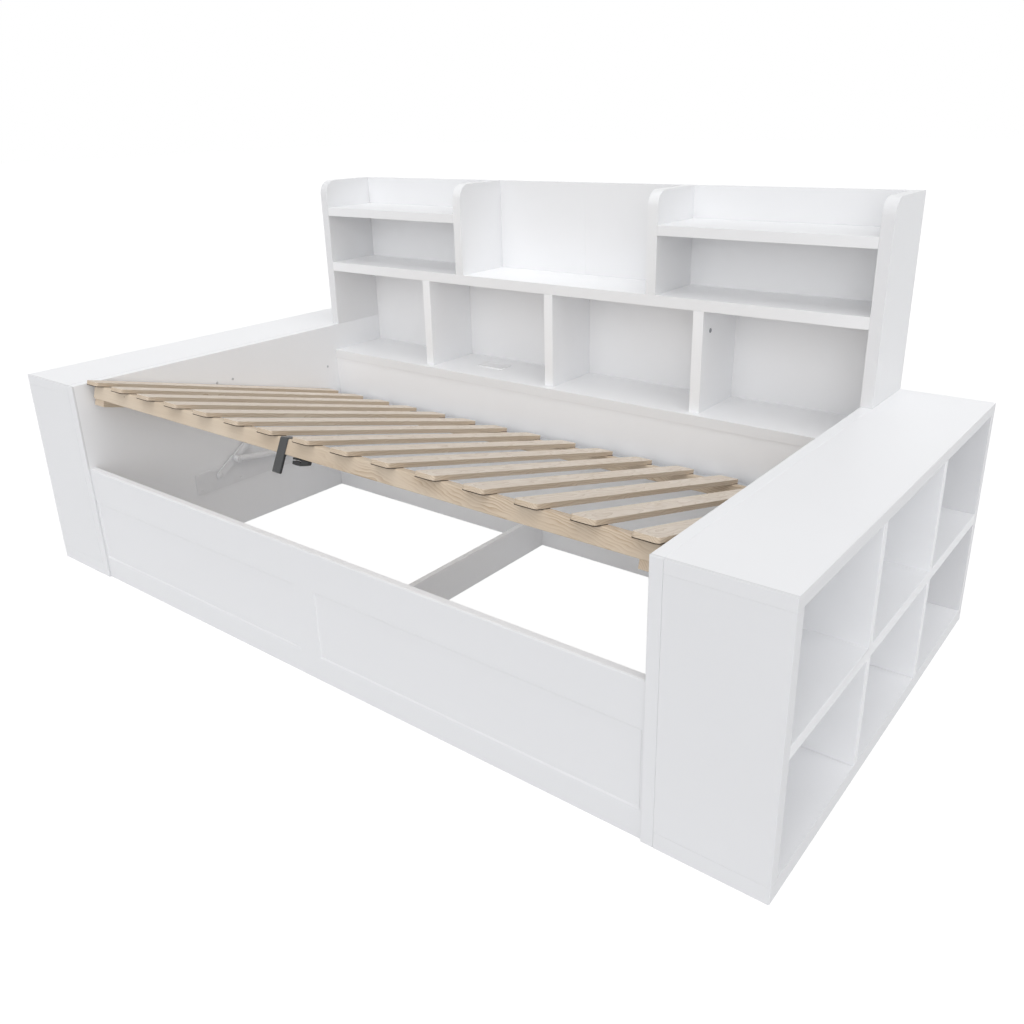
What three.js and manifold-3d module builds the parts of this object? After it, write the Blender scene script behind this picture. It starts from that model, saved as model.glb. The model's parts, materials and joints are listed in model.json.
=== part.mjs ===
// Storage daybed: two cubby cabinets as arms, a bookcase back, a panelled front rail
// and a slatted base that lifts on a rear hinge with a lever and a gas strut at each end.
// Millimetres. X runs along the bed, Y from front to back, Z up from the floor.
import * as THREE from "three";
import { ConvexGeometry } from "three/addons/geometries/ConvexGeometry.js";
import { mergeVertices } from "three/addons/utils/BufferGeometryUtils.js";
import Module from "manifold-3d";

const wasm = await Module();
wasm.setup();

// Overall
const bedLength = 1920; // clear length between the two cabinets
const depth = 1250; // front to back, of the cabinets and of the whole bed
const seam = 0.1; // hairline between two boards that are joined face to face
const shopGap = 0.3; // fitting gap between pieces that turn together or are cut to each other

// Cabinets
const cabinetWidth = 264;
const cabinetHeight = 616;
const cabinetBoard = 28; // bed-side panel, top and middle shelf
const cabinetBase = 38;
const cabinetEnd = 30; // front and back end panels
const cabinetShelfTop = 322;
const cabinetDivider = 22;
const cabinetColumns = 3;

// Bookcase
const bookcaseTop = 1120;
const bookcaseDepth = 221; // from the shelves' front edge to the back of the bed
const bookcaseBoard = 31; // sides, floor, main shelf, dividers and hutch panels
const bookcaseBack = 18;
const topShelfBoard = 28;
const cubbyFloorTop = 524;
const cubbyFloorLip = 26; // how far the floor stands forward of the shelves
const mainShelfTop = 841;
const trayDepth = 90; // of the open tray above each top shelf
const cubbyDividerOffset = 504; // of each outer divider's middle from the bed's middle
const hutchBay = 675; // clear width of the open middle bay
const sideCornerRadius = 43;
const faceBoard = 18;
const faceSetback = 3; // of the face board behind the cubby floor's front edge
const faceGap = 15; // between the rear board and the face board behind it

// Base between the cabinets
const railSetback = 6; // of the front rail behind the cabinets' fronts
const railHeight = 360;
const railBoard = 20; // front rail and rear board
const railBottomBand = 68;
const railTopBand = 107;
const railMiddleStile = 71;
const railEndStile = 6;
const railRecess = 3.5; // depth of the two sunk panels, and the width of their bevels
const railTopChamfer = 3;
const storageDivider = 18;
const storageDividerHeight = 106;
const ledgerThickness = 20;
const ledgerHeight = 54;

// Slatted base, lying along its own plane
const slatCount = 15;
const slatWidth = 56;
const slatThickness = 12;
const slatCornerRadius = 8;
const slatEndGap = 6; // between the outermost slats and the cabinets
const slatOverhang = 22; // of the slats in front of the front beam
const slatRearOverhang = 9; // of the slats behind the rear beam
const beamThickness = 30;
const beamHeight = 40;
const beamRise = 17; // of the beams' upper faces above the hinge axis
const beamEndInset = 7; // of a beam's end from the outermost slat's edge
const battenWidth = 48;
const battenHeight = 20;
const battenInset = 9; // of a batten's front end behind the front beam's face
const railClearance = 2; // between the lowered front beam and the rail
const liftAngle = THREE.MathUtils.degToRad(14.8); // of the raised base

// Hinge along the rear beam
const hingeOffset = 7; // of the axis behind the rear beam
const hingeReach = 31; // of the axis in front of the rear board
const hingeLength = 1860;
const hingeRadius = 5;
const hingePinRadius = 2;
const hingeLeaf = 2;
const hingeMovingLeaf = 1.4;
const hingeMovingLeafHeight = 30;
const hingeKnuckles = 11;
const hingeSides = 12;

// Levers and gas struts
const plateSetback = 101; // of the wall plate's back end in front of the rear board
const plateLength = 522;
const plateBottom = 157;
const plateHeight = 74;
const plateThickness = 3;
const armPivotInset = 92; // from the plate's front end
const armPivotRise = 48; // above the plate's lower edge
const armAngle = THREE.MathUtils.degToRad(33.2); // of the raised lever above the floor
const armWidth = 28;
const armThickness = 4;
const armStandoff = 2; // between the wall plate and the lever
const armPadRadius = 13;
const armPadLength = 26;
const armPadGap = 3; // below the raised batten, mostly taken up as the lever turns
const studRadius = 4;
const studOffset = 78; // of the strut's stud from the lever's pivot
const strutAnchorInset = 30; // from the plate's back end
const strutAnchorRise = 46.5; // above the plate's lower edge
const strutRadius = 11;
const strutGap = 4; // between the lever and the strut
const strutCylinderLength = 232; // from its stud to the open end
const strutCapLength = 14;
const strutRodRadius = 5;
const strutRodClearance = 0.4;
const strutOverlap = 60; // of the rod inside the cylinder when raised
const strutStroke = 20; // free depth of the bore past the rod
const strutEyeWidth = 20;
const strutEyeClearance = 1.2; // round the lever's stud, which moves a little in its eye
const strutEyeWall = 2; // between an eye's hole and the end of its tube or rod
const pivotRadius = 5;
const pivotHeadRadius = 9;
const pivotHeadHeight = 2;
const roundSides = 24;

// Pull strap
const strapWidth = 30;
const strapThickness = 1.5; // less than the front beam's clearance behind the rail
const strapDrop = 50; // below the front beam
const strapGapFraction = 0.36; // of the gap left of the middle slat, where its middle lies
const strapLean = 20; // of its hanging end to the left
const strapLoopWidth = 7; // of the hanging loop, front to back
const pocketWidth = 142; // of the ledger's pocket for the strap and the latch under the front beam
const pocketDrop = 28;
const pocketRoom = 6; // left of the strap's hanging end

// Places that follow from the sizes above
const bedEdge = bedLength / 2;
const cabinetOuter = bedEdge + cabinetWidth;
const shelfFront = depth - bookcaseDepth;
const backFront = depth - bookcaseBack;
const cubbyFloorFront = shelfFront - cubbyFloorLip;
const faceFront = cubbyFloorFront + faceSetback;
const topShelfTop = bookcaseTop - trayDepth;
const railBackFace = railSetback + railBoard;
const rearBoardFront = faceFront - faceGap - railBoard;
const hinge = { y: rearBoardFront - hingeReach, z: railHeight + hingeLeaf / 2 };
const frameDepth = hinge.y - hingeOffset - railBackFace - railClearance;
const slatLength = slatOverhang + frameDepth + slatRearOverhang;
const beamBottom = beamRise - beamHeight;
const beamBack = -hingeOffset;
const beamFront = beamBack - frameDepth;
const slatsBottom = beamRise + shopGap;
const battenTop = beamBottom - shopGap;
const battenBottom = battenTop - battenHeight;
const slatSpan = bedLength - 2 * slatEndGap;
const slatPitch = (slatSpan - slatWidth) / (slatCount - 1);
const battenOuter = slatSpan / 2;
const plateBack = rearBoardFront - plateSetback;
const plateFront = plateBack - plateLength;
const neighbourGap = -slatSpan / 2 + ((slatCount - 1) / 2 - 1) * slatPitch + slatWidth;
const strapMiddle = neighbourGap + strapGapFraction * (slatPitch - slatWidth);
const strapSpan = [strapMiddle - strapWidth / 2, strapMiddle + strapWidth / 2];
const armPivot = { y: plateFront + armPivotInset, z: plateBottom + armPivotRise };
const strutAnchor = { y: plateBack - strutAnchorInset, z: plateBottom + strutAnchorRise };

function boardMaterial(color, roughness) {
  return new THREE.MeshStandardMaterial({ color, roughness, metalness: 0 });
}

const white = boardMaterial(0xeeeef0, 0.45);
const pine = boardMaterial(0xd2b896, 0.7);
const webbing = boardMaterial(0x2f3134, 0.9);
const whiteSteel = new THREE.MeshStandardMaterial({ color: 0xe6e7e8, roughness: 0.35, metalness: 0.3 });
const zincSteel = new THREE.MeshStandardMaterial({ color: 0xb9bcc0, roughness: 0.35, metalness: 0.9 });

const sofaBed = new THREE.Group();
const carcass = new THREE.Group();
carcass.position.set(0, -depth / 2, -seam / 2);
sofaBed.add(carcass);

function addMesh(parent, name, geometry, material) {
  const mesh = new THREE.Mesh(geometry, material);
  mesh.name = name;
  parent.add(mesh);
  return mesh;
}

// A board that fills the spans given along X, Y and Z, less half a seam on every side
function addBoard(parent, name, material, x, y, z) {
  const size = [x, y, z].map((span) => span[1] - span[0] - seam);
  const mesh = addMesh(parent, name, new THREE.BoxGeometry(...size), material);
  mesh.position.set((x[0] + x[1]) / 2, (y[0] + y[1]) / 2, (z[0] + z[1]) / 2);
  return mesh;
}

// The span between two distances from the bed's middle, on the left (-1) or right (1)
function sideSpan(side, inner, outer) {
  return side < 0 ? [-outer, -inner] : [inner, outer];
}

function sideName(side) {
  return side < 0 ? "left" : "right";
}

function toSolid(geometry) {
  const bare = geometry.clone();
  bare.deleteAttribute("normal");
  bare.deleteAttribute("uv");
  const merged = mergeVertices(bare, 1e-4);
  return new wasm.Manifold(
    new wasm.Mesh({
      numProp: 3,
      vertProperties: new Float32Array(merged.attributes.position.array),
      triVerts: new Uint32Array(merged.index.array),
    }),
  );
}

function toGeometry(solid) {
  const mesh = solid.getMesh();
  const geometry = new THREE.BufferGeometry();
  geometry.setAttribute("position", new THREE.BufferAttribute(mesh.vertProperties, 3));
  geometry.setIndex(new THREE.BufferAttribute(mesh.triVerts, 1));
  geometry.computeVertexNormals();
  return geometry;
}

function joined(parts) {
  return parts.reduce((whole, part) => whole.add(part));
}

function boxSolid(x, y, z) {
  const geometry = new THREE.BoxGeometry(x[1] - x[0], y[1] - y[0], z[1] - z[0]);
  geometry.translate((x[0] + x[1]) / 2, (y[0] + y[1]) / 2, (z[0] + z[1]) / 2);
  return toSolid(geometry);
}

// A round bar along X, centred on the point (y, z)
function barSolid(x, y, z, radius, sides = roundSides) {
  const geometry = new THREE.CylinderGeometry(radius, radius, x[1] - x[0], sides);
  geometry.rotateZ(Math.PI / 2);
  geometry.translate((x[0] + x[1]) / 2, y, z);
  return toSolid(geometry);
}

// A shape drawn with its first axis along Y and its second along Z, filling a span of X
function extrudeAlongX(shape, x) {
  const geometry = new THREE.ExtrudeGeometry(shape, {
    depth: x[1] - x[0],
    bevelEnabled: false,
    curveSegments: 6,
  });
  geometry.rotateX(Math.PI / 2);
  geometry.rotateZ(Math.PI / 2);
  geometry.translate(x[0], 0, 0);
  return geometry;
}

function polygon(points) {
  return new THREE.Shape(points.map(([y, z]) => new THREE.Vector2(y, z)));
}

// Cabinets
function addCubbyGrid(name, x) {
  const inset = seam / 2;
  const wide = [x[0] + inset, x[1] - inset];
  const from = cabinetEnd + inset;
  const to = depth - cabinetEnd - inset;
  const pieces = [boxSolid(wide, [from, to], [cabinetShelfTop - cabinetBoard, cabinetShelfTop])];
  const columnWidth =
    (depth - 2 * cabinetEnd - (cabinetColumns - 1) * cabinetDivider) / cabinetColumns;
  for (let column = 1; column < cabinetColumns; column += 1) {
    const start = cabinetEnd + column * columnWidth + (column - 1) * cabinetDivider;
    const height = [cabinetBase + inset, cabinetHeight - cabinetBoard - inset];
    pieces.push(boxSolid(wide, [start, start + cabinetDivider], height));
  }
  addMesh(carcass, name, toGeometry(joined(pieces)), white);
}

function addCabinet(side) {
  const cabinet = `${sideName(side)}_cabinet`;
  const wall = sideSpan(side, bedEdge, bedEdge + cabinetBoard);
  const body = sideSpan(side, bedEdge + cabinetBoard, cabinetOuter);
  const underTop = cabinetHeight - cabinetBoard;
  const endHeight = [cabinetBase, underTop];
  addBoard(carcass, `${cabinet}_bed_side`, white, wall, [0, depth], [0, cabinetHeight]);
  addBoard(carcass, `${cabinet}_top`, white, body, [0, depth], [underTop, cabinetHeight]);
  addBoard(carcass, `${cabinet}_base`, white, body, [0, depth], [0, cabinetBase]);
  addBoard(carcass, `${cabinet}_front_end`, white, body, [0, cabinetEnd], endHeight);
  addBoard(carcass, `${cabinet}_back_end`, white, body, [depth - cabinetEnd, depth], endHeight);
  addCubbyGrid(`${cabinet}_cubby_grid`, body);
}

// Bookcase
// An upright board whose top front corner is rounded, like the bookcase's sides
function addRoundedUpright(name, x, y, z) {
  const [front, back, bottom, top] = [y[0], y[1], z[0], z[1]].map(
    (edge, index) => edge + (index % 2 === 0 ? seam / 2 : -seam / 2),
  );
  const outline = new THREE.Shape();
  outline.moveTo(front, bottom);
  outline.lineTo(back, bottom);
  outline.lineTo(back, top);
  outline.lineTo(front + sideCornerRadius, top);
  const centre = [front + sideCornerRadius, top - sideCornerRadius];
  outline.absarc(...centre, sideCornerRadius, Math.PI / 2, Math.PI, false);
  outline.lineTo(front, bottom);
  const wide = [x[0] + seam / 2, x[1] - seam / 2];
  addMesh(carcass, name, extrudeAlongX(outline, wide), white);
}

function addBookcase() {
  const full = [-bedEdge, bedEdge];
  const shelfDepth = [shelfFront, backFront];
  const floorHeight = [cubbyFloorTop - bookcaseBoard, cubbyFloorTop];
  const mainShelf = [mainShelfTop - bookcaseBoard, mainShelfTop];
  addBoard(carcass, "bookcase_cubby_floor", white, full, [cubbyFloorFront, backFront], floorHeight);
  addBoard(carcass, "bookcase_main_shelf", white, full, shelfDepth, mainShelf);
  const faceDepth = [faceFront, faceFront + faceBoard];
  addBoard(carcass, "bookcase_face_board", white, full, faceDepth, [0, floorHeight[0]]);
  [-cubbyDividerOffset, 0, cubbyDividerOffset].forEach((middle, index) => {
    const wide = [middle - bookcaseBoard / 2, middle + bookcaseBoard / 2];
    const high = [cubbyFloorTop, mainShelf[0]];
    addBoard(carcass, `bookcase_divider_${index + 1}`, white, wide, shelfDepth, high);
  });
  for (const side of [-1, 1]) {
    const name = sideName(side);
    const wall = sideSpan(side, bedEdge, bedEdge + bookcaseBoard);
    const hutch = sideSpan(side, hutchBay / 2, hutchBay / 2 + bookcaseBoard);
    const topShelf = sideSpan(side, hutchBay / 2 + bookcaseBoard, bedEdge);
    const topHeight = [topShelfTop - topShelfBoard, topShelfTop];
    const backHeight = [floorHeight[0], bookcaseTop];
    addRoundedUpright(`bookcase_side_${name}`, wall, [shelfFront, depth], [cabinetHeight, bookcaseTop]);
    addRoundedUpright(`bookcase_hutch_panel_${name}`, hutch, shelfDepth, [mainShelfTop, bookcaseTop]);
    addBoard(carcass, `bookcase_top_shelf_${name}`, white, topShelf, shelfDepth, topHeight);
    const half = sideSpan(side, 0, bedEdge);
    addBoard(carcass, `bookcase_back_${name}`, white, half, [backFront, depth], backHeight);
  }
}

// Base between the cabinets
// The cutter for one sunk panel: a shallow block whose sides slope in towards its floor
function recessCutter(x, z) {
  const points = [];
  for (const [y, inset] of [[railSetback - 1, -1], [railSetback + railRecess, railRecess]]) {
    for (const px of [x[0] + inset, x[1] - inset]) {
      for (const pz of [z[0] + inset, z[1] - inset]) {
        points.push(new THREE.Vector3(px, y, pz));
      }
    }
  }
  return toSolid(new ConvexGeometry(points));
}

function addFrontRail() {
  const front = railSetback;
  const section = polygon([
    [front, seam / 2],
    [railBackFace, seam / 2],
    [railBackFace, railHeight],
    [front + railTopChamfer, railHeight],
    [front, railHeight - railTopChamfer],
  ]);
  const reach = bedEdge - seam / 2;
  const height = [railBottomBand, railHeight - railTopBand];
  const recesses = [-1, 1].map((side) =>
    recessCutter(sideSpan(side, railMiddleStile / 2, bedEdge - railEndStile), height),
  );
  const rail = recesses.reduce(
    (solid, cutter) => solid.subtract(cutter),
    toSolid(extrudeAlongX(section, [-reach, reach])),
  );
  addMesh(carcass, "front_rail", toGeometry(rail), white);
}

function addBase() {
  addFrontRail();
  const rearBoardDepth = [rearBoardFront, rearBoardFront + railBoard];
  addBoard(carcass, "rear_board", white, [-bedEdge, bedEdge], rearBoardDepth, [0, railHeight]);
  const dividerWidth = [-storageDivider / 2, storageDivider / 2];
  const dividerHeight = [0, storageDividerHeight];
  const dividerDepth = [railBackFace, rearBoardFront];
  addBoard(carcass, "storage_divider", white, dividerWidth, dividerDepth, dividerHeight);
  const ledgerEnd = battenOuter - battenWidth - ledgerThickness;
  const ledgerTop = hinge.z + beamBottom - shopGap;
  const ledgerDepth = [railBackFace + seam / 2, railBackFace + ledgerThickness];
  const ledgerSpan = [ledgerTop - ledgerHeight, ledgerTop];
  const ledger = boxSolid([-ledgerEnd, ledgerEnd], ledgerDepth, ledgerSpan);
  const pocketLeft = strapSpan[0] - strapLean - pocketRoom;
  const pocketDepth = [ledgerDepth[0] - 1, ledgerDepth[1] + 1];
  const pocketSpan = [ledgerTop - pocketDrop, ledgerTop + 1];
  const pocket = boxSolid([pocketLeft, pocketLeft + pocketWidth], pocketDepth, pocketSpan);
  addMesh(carcass, "front_ledger", toGeometry(ledger.subtract(pocket)), pine);
}

// Slatted base. Its group lies on the hinge axis, with Y to the back and Z up along its own plane
const slatBase = new THREE.Group();
slatBase.position.set(0, hinge.y, hinge.z);
slatBase.rotation.x = -liftAngle;
carcass.add(slatBase);

function slatOutline() {
  const [w, l, r] = [slatWidth / 2, slatLength / 2, slatCornerRadius];
  const outline = new THREE.Shape();
  outline.moveTo(w, -l + r);
  outline.lineTo(w, l - r);
  outline.absarc(w - r, l - r, r, 0, Math.PI / 2, false);
  outline.lineTo(-w + r, l);
  outline.absarc(-w + r, l - r, r, Math.PI / 2, Math.PI, false);
  outline.lineTo(-w, -l + r);
  outline.absarc(-w + r, -l + r, r, Math.PI, Math.PI * 1.5, false);
  outline.lineTo(w - r, -l);
  outline.absarc(w - r, -l + r, r, Math.PI * 1.5, Math.PI * 2, false);
  return outline;
}

function addSlats() {
  const settings = { depth: slatThickness, bevelEnabled: false, curveSegments: 4 };
  const middleY = beamFront - slatOverhang + slatLength / 2;
  for (let index = 0; index < slatCount; index += 1) {
    const name = `slat_${String(index + 1).padStart(2, "0")}`;
    const slat = addMesh(slatBase, name, new THREE.ExtrudeGeometry(slatOutline(), settings), pine);
    const middleX = -slatSpan / 2 + slatWidth / 2 + index * slatPitch;
    slat.position.set(middleX, middleY, slatsBottom);
  }
}

function addBeamsAndBattens() {
  const reach = slatSpan / 2 - beamEndInset;
  const beams = [
    ["slat_base_front_beam", [beamFront, beamFront + beamThickness]],
    ["slat_base_rear_beam", [beamBack - beamThickness, beamBack]],
  ];
  for (const [name, span] of beams) {
    addBoard(slatBase, name, pine, [-reach, reach], span, [beamBottom, beamRise]);
  }
  for (const side of [-1, 1]) {
    const wide = sideSpan(side, battenOuter - battenWidth, battenOuter);
    const long = [beamFront + battenInset, beamBack];
    const name = `slat_base_batten_${sideName(side)}`;
    addBoard(slatBase, name, pine, wide, long, [battenBottom, battenTop]);
  }
}

// Continuous hinge: one leaf lies on the rear board, the other on the rear beam
function knuckleSpans(first) {
  const pitch = hingeLength / hingeKnuckles;
  const spans = [];
  for (let index = first; index < hingeKnuckles; index += 2) {
    const start = -hingeLength / 2 + index * pitch;
    spans.push([start + shopGap / 2, start + pitch - shopGap / 2]);
  }
  return spans;
}

function addFixedLeaf() {
  const reach = hingeLength / 2;
  const leafHeight = [-hingeLeaf / 2, hingeLeaf / 2];
  const leafFront = hingeRadius + hingeLeaf / 2;
  const leafBack = hingeReach + railBoard;
  const parts = [boxSolid([-reach, reach], [leafFront, leafBack], leafHeight)];
  for (const span of knuckleSpans(0)) {
    parts.push(barSolid(span, 0, 0, hingeRadius, hingeSides));
    parts.push(boxSolid(span, [0, leafFront + hingeLeaf], leafHeight));
  }
  parts.push(barSolid([-reach, reach], 0, 0, hingePinRadius, hingeSides));
  const leaf = addMesh(carcass, "hinge_fixed_leaf", toGeometry(joined(parts)), zincSteel);
  leaf.position.set(0, hinge.y, hinge.z);
}

function addMovingLeaf() {
  const reach = hingeLength / 2 - shopGap;
  const leafBack = -hingeRadius - shopGap;
  const leafFront = leafBack - hingeMovingLeaf;
  const half = hingeMovingLeafHeight / 2;
  const parts = [boxSolid([-reach, reach], [leafFront, leafBack], [-half, half])];
  const bores = [];
  for (const span of knuckleSpans(1)) {
    parts.push(barSolid(span, 0, 0, hingeRadius, hingeSides));
    parts.push(boxSolid(span, [leafBack - hingeMovingLeaf / 2, 0], [-hingePinRadius, hingePinRadius]));
    const through = [span[0] - 1, span[1] + 1];
    bores.push(barSolid(through, 0, 0, hingePinRadius + shopGap, hingeSides));
  }
  const solid = joined(parts).subtract(joined(bores));
  addMesh(slatBase, "hinge_moving_leaf", toGeometry(solid), zincSteel);
}

// Levers and gas struts, left and right. Spans of X count from the cabinet's bed-side face inwards
function inwards(side, from, to) {
  return sideSpan(side, bedEdge - to, bedEdge - from);
}

const armFrom = plateThickness + armStandoff;
const armTo = armFrom + armThickness;
const strutMiddle = armTo + strutGap + strutRadius;
const eyeFrom = strutMiddle - strutEyeWidth / 2;
const eyeTo = strutMiddle + strutEyeWidth / 2;

// The lever's reach: its pad meets the raised batten, whose underside slopes down to the back
function armReach() {
  const slope = liftAngle;
  const toHinge = { y: hinge.y - armPivot.y, z: hinge.z - armPivot.z };
  const drop = -battenBottom + armPadRadius + armPadGap;
  const pivotDepth = toHinge.y * Math.sin(slope) + toHinge.z * Math.cos(slope);
  return (pivotDepth - drop) / Math.sin(armAngle + slope);
}

function alongArm(distance) {
  return {
    y: armPivot.y + distance * Math.cos(armAngle),
    z: armPivot.z + distance * Math.sin(armAngle),
  };
}

function addWallPlate(side) {
  const plate = inwards(side, seam / 2, plateThickness);
  const long = [plateFront, plateBack];
  const high = [plateBottom, plateBottom + plateHeight];
  const washer = inwards(side, plateThickness - 1, armFrom - shopGap);
  const pivot = inwards(side, plateThickness - 1, armTo + shopGap + pivotHeadHeight);
  const head = inwards(side, armTo + shopGap, armTo + shopGap + pivotHeadHeight);
  const anchor = inwards(side, plateThickness - 1, eyeTo + 2);
  const solid = joined([
    boxSolid(plate, long, high),
    barSolid(washer, armPivot.y, armPivot.z, pivotHeadRadius),
    barSolid(pivot, armPivot.y, armPivot.z, pivotRadius),
    barSolid(head, armPivot.y, armPivot.z, pivotHeadRadius),
    barSolid(anchor, strutAnchor.y, strutAnchor.z, studRadius),
  ]);
  addMesh(carcass, `lift_plate_${sideName(side)}`, toGeometry(solid), whiteSteel);
}

// The lever lies along Y in its own group, which is turned up about the pivot
function addArm(side) {
  const reach = armReach();
  const flat = inwards(side, armFrom, armTo);
  const pad = inwards(side, armTo - 1, armTo + armPadLength);
  const stud = inwards(side, armTo - 1, eyeTo + 2);
  const body = joined([
    boxSolid(flat, [0, reach], [-armWidth / 2 + 1, armWidth / 2 - 1]),
    barSolid(flat, 0, 0, armWidth / 2),
    barSolid(flat, reach, 0, armPadRadius),
    barSolid(pad, reach, 0, armPadRadius),
    barSolid(stud, studOffset, 0, studRadius),
  ]);
  const bore = barSolid(inwards(side, armFrom - 1, armTo + 1), 0, 0, pivotRadius + shopGap);
  const arm = addMesh(carcass, `lift_arm_${sideName(side)}`, toGeometry(body.subtract(bore)), whiteSteel);
  arm.position.set(0, armPivot.y, armPivot.z);
  arm.rotation.x = armAngle;
}

function strutLine() {
  const stud = alongArm(studOffset);
  const rise = stud.z - strutAnchor.z;
  const run = strutAnchor.y - stud.y;
  return { length: Math.hypot(rise, run), angle: Math.atan2(rise, run) };
}

// Both halves of a strut lie along Y in a group on the rear anchor, with the front end at -length
function addStrut(side) {
  const { length, angle } = strutLine();
  const group = new THREE.Group();
  group.position.set(0, strutAnchor.y, strutAnchor.z);
  group.rotation.x = -angle;
  carcass.add(group);
  const middle = side * (bedEdge - strutMiddle);
  const eye = inwards(side, eyeFrom, eyeTo);
  const through = inwards(side, eyeFrom - 1, eyeTo + 1);
  const mouth = -length + strutCylinderLength;
  const rodFront = mouth - strutOverlap;
  const boreFloor = rodFront - strutStroke;
  const bore = strutRodRadius + strutRodClearance;
  const tubeFront = -length + studRadius + strutEyeClearance + strutEyeWall;
  const rodBack = -studRadius - strutEyeWall;
  const tube = lathedAlongY(
    [
      [0, tubeFront],
      [strutRadius, tubeFront],
      [strutRadius, mouth - strutCapLength],
      [strutRadius - 2, mouth],
      [bore, mouth],
      [bore, boreFloor],
      [0, boreFloor],
    ],
    middle,
  );
  const frontHole = barSolid(through, -length, 0, studRadius + strutEyeClearance);
  const cylinder = joined([tube, barSolid(eye, -length, 0, strutRadius)]).subtract(frontHole);
  addMesh(group, `strut_cylinder_${sideName(side)}`, toGeometry(cylinder), whiteSteel);
  const shaft = lathedAlongY(
    [
      [0, rodFront],
      [strutRodRadius, rodFront],
      [strutRodRadius, rodBack],
      [0, rodBack],
    ],
    middle,
  );
  const rearHole = barSolid(through, 0, 0, studRadius + shopGap);
  const rod = joined([shaft, barSolid(eye, 0, 0, strutRadius)]).subtract(rearHole);
  addMesh(group, `strut_rod_${sideName(side)}`, toGeometry(rod), zincSteel);
}

// A turned piece with its axis along Y at the given X; the profile lists [radius, y]
function lathedAlongY(profile, x) {
  const points = profile.map(([radius, y]) => new THREE.Vector2(radius, y));
  const geometry = new THREE.LatheGeometry(points, roundSides);
  geometry.translate(x, 0, 0);
  const solid = toSolid(geometry);
  return solid.volume() < 0 ? toSolid(flipped(geometry)) : solid;
}

function flipped(geometry) {
  const turned = geometry.clone();
  const index = turned.index.array;
  for (let corner = 0; corner < index.length; corner += 3) {
    [index[corner], index[corner + 1]] = [index[corner + 1], index[corner]];
  }
  return turned;
}

// Pull strap: a loop of webbing round the front beam, just left of the middle slat
function addStrap() {
  const front = beamFront - shopGap;
  const back = beamFront + beamThickness + shopGap;
  const top = beamRise + shopGap;
  const under = beamBottom - shopGap;
  const tip = beamBottom - strapDrop;
  const t = strapThickness;
  const loopBack = front - t + strapLoopWidth;
  const loop = polygon([
    [front - t, top + t],
    [front - t, tip],
    [loopBack, tip],
    [loopBack, under - t],
    [back + t, under - t],
    [back + t, top + t],
  ]);
  const gap = polygon([
    [front, top],
    [back, top],
    [back, under],
    [loopBack - t, under],
    [loopBack - t, tip + t],
    [front, tip + t],
  ]);
  loop.holes.push(gap);
  const strap = extrudeAlongX(loop, strapSpan);
  const lean = new THREE.Matrix4().makeShear(0, 0, 0, 0, strapLean / (beamRise - tip), 0);
  strap.translate(0, 0, -beamRise).applyMatrix4(lean).translate(0, 0, beamRise);
  addMesh(slatBase, "pull_strap", strap, webbing);
}

addCabinet(-1);
addCabinet(1);
addBookcase();
addBase();
addSlats();
addBeamsAndBattens();
addFixedLeaf();
addMovingLeaf();
for (const side of [-1, 1]) {
  addWallPlate(side);
  addArm(side);
  addStrut(side);
}
addStrap();

export default sofaBed;
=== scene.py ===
"""A storage sofa bed: camera, light, materials and the small pieces that the frame leaves out."""

import json
import math

import bmesh
import bpy
from mathutils import Matrix, Vector


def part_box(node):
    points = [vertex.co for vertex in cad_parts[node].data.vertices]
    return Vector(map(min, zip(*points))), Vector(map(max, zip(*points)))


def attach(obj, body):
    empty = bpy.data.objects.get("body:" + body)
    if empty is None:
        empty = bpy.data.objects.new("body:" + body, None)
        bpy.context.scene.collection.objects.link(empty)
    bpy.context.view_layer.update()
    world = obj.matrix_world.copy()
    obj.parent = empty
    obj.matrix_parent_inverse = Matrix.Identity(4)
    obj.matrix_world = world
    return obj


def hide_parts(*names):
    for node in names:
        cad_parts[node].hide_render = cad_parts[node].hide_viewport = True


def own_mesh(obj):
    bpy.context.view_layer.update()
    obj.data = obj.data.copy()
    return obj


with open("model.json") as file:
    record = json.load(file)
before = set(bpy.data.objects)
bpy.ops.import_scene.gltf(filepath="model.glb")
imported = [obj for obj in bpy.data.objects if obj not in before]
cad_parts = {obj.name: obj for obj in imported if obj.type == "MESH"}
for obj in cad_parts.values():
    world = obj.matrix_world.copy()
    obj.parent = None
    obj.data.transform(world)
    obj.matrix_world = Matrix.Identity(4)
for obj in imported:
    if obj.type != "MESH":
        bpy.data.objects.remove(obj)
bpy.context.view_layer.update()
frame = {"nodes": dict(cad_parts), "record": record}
scene = bpy.context.scene

# Lengths are in metres. X runs to the right, Y to the back and Z up, from the middle of the floor
MM = 0.001
DEPTH = 1.25
TILT = math.radians(14.8)
SIDES = (("left", -1), ("right", 1))

nodes = frame["nodes"]
node_slots = {part["node"]: part["material_slot"] for part in frame["record"]["subparts"]}


# Frames in millimetres. The carcass counts from the floor at the middle of the cabinets' fronts;
# the slatted base counts from the hinge line, Y to the back along the slats and Z up from them
CARCASS = Matrix.Translation((0, -DEPTH / 2, -0.05 * MM)) @ Matrix.Scale(MM, 4)


def turned_frame(y, z, angle):
    """A frame at this place on the carcass, with its Y axis turned up by an angle."""
    return CARCASS @ Matrix.Translation((0, y, z)) @ Matrix.Rotation(angle, 4, "X")


BASE = turned_frame(940, 361, -TILT)
HINGE = BASE.translation
LEVER = turned_frame(440, 205, math.radians(33.2))
STRUT = turned_frame(840, 203.5, -math.radians(7.524))
LEVER_REACH = 295.03
STRUT_LENGTH = 337.64
FACE = 960  # of a cabinet's bed side, from the middle of the bed


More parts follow.
